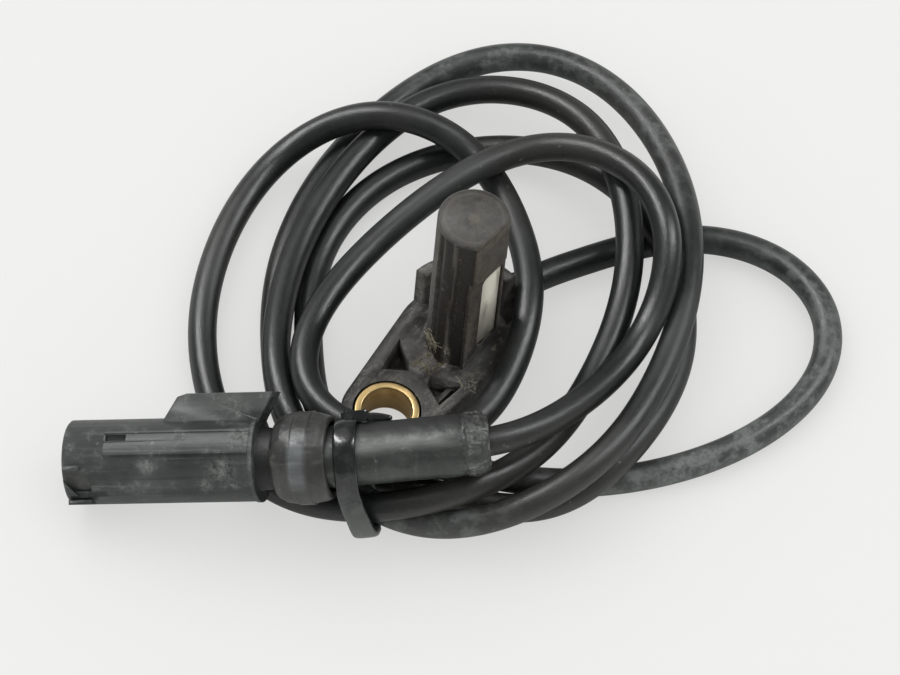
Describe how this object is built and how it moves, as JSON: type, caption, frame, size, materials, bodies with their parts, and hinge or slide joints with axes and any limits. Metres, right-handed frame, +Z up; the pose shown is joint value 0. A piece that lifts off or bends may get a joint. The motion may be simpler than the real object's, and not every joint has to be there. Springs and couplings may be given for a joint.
{
  "type": "wheel speed sensor",
  "caption": "Wheel speed sensor: a round probe on a bolt-on flange with a brass bush, a coiled cable held by a cable tie, and a round plug connector with a rubber boot.",
  "frame": {"origin": "middle of the sensor head's outline, on the flat face it stands on", "axes": "+Z up along the probe; the plug points along -X and lies in front of the head, towards -Y"},
  "size_m": [0.1245, 0.1005, 0.0412],
  "materials": {
    "body": "moulded plastic with dust",
    "brass": "turned",
    "carrier": "matte",
    "magnet": "satin",
    "chip": "matte",
    "copper": "stamped",
    "sheath": "satin sheath",
    "housing": "matte",
    "insert": "matte",
    "silicone": "matte",
    "wire": "matte",
    "boot": "dusty rubber",
    "sleeve": "dusty rubber",
    "tie": "glossy nylon"
  },
  "bodies": {
    "root": {"sensor_body": "body", "bolt_bush": "brass", "inner_carrier": "carrier", "bias_magnet": "magnet", "sensing_chip": "chip", "chip_terminal_left": "copper", "chip_terminal_right": "copper", "cable": "sheath", "connector_housing": "housing", "terminal_carrier": "insert", "core_seal": "silicone", "contact_1": "copper", "contact_2": "copper", "wire_seal_1": "silicone", "wire_seal_2": "silicone", "core_wire_1": "wire", "core_wire_2": "wire", "neck_ring": "insert", "boot": "boot", "strain_relief_sleeve": "sleeve", "cable_tie": "tie"}
  },
  "joints": []
}
